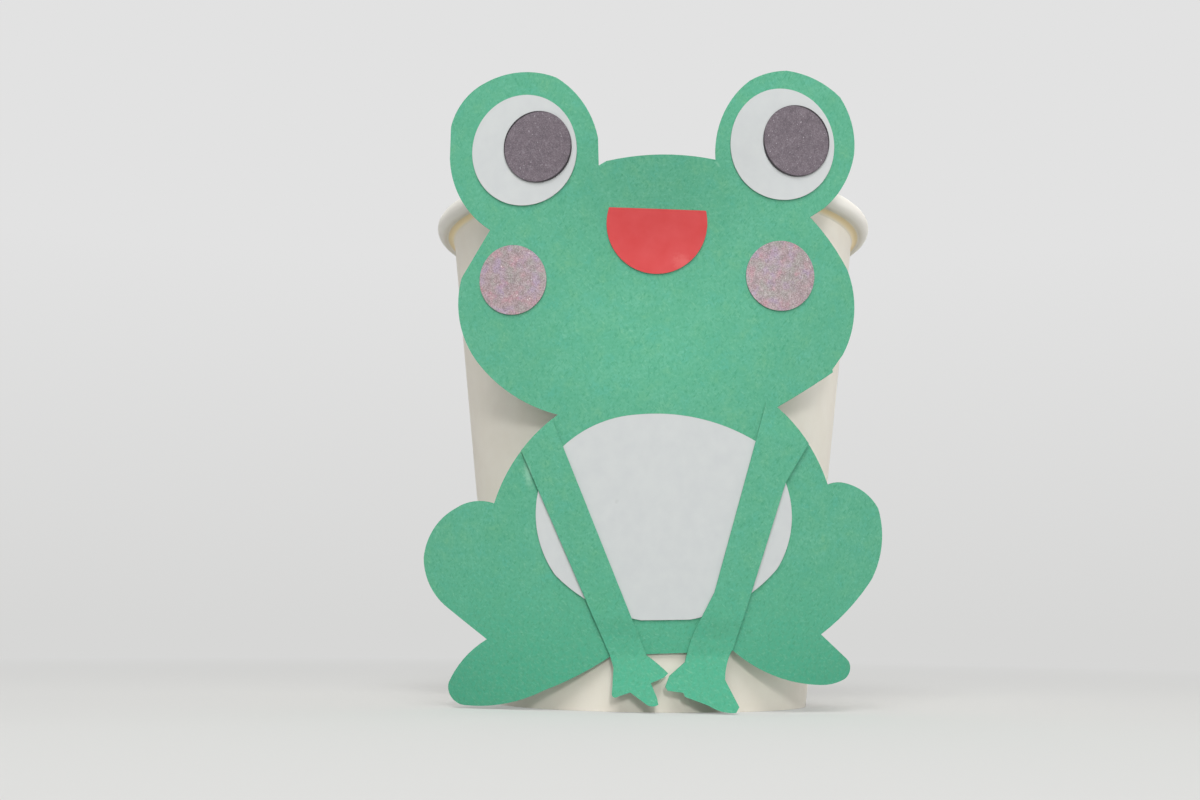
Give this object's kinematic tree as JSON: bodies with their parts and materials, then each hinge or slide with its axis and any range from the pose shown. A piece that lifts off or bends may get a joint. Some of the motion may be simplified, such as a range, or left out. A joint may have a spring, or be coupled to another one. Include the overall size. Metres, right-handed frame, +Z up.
{
  "type": "paper cup frog",
  "caption": "Frog of cut and layered green card with a white belly, round eyes and bent hands, glued upright to the front of a plain disposable paper cup.",
  "frame": {"origin": "centre of the cup's base ring, in the plane that the cup stands on", "axes": "+Z up the cup's axis, the frog faces -Y, +X is the viewer's right"},
  "size_m": [0.075, 0.0774, 0.0962],
  "materials": {
    "cup_paper": "smooth off-white cup board",
    "green_card": "matt fibrous construction card",
    "white_paper": "smooth matt paper",
    "black_gloss_paper": "speckled satin sheen over black",
    "pink_gloss_paper": "speckled satin sheen over pink",
    "red_paper": "smooth matt coloured paper"
  },
  "bodies": {
    "root": {"cup_wall": "cup_paper", "cup_floor": "cup_paper", "frog_body": "green_card", "left_arm": "green_card", "right_arm": "green_card", "belly": "white_paper", "left_eye_white": "white_paper", "right_eye_white": "white_paper", "left_pupil": "black_gloss_paper", "right_pupil": "black_gloss_paper", "left_cheek": "pink_gloss_paper", "right_cheek": "pink_gloss_paper", "mouth": "red_paper"}
  },
  "joints": []
}
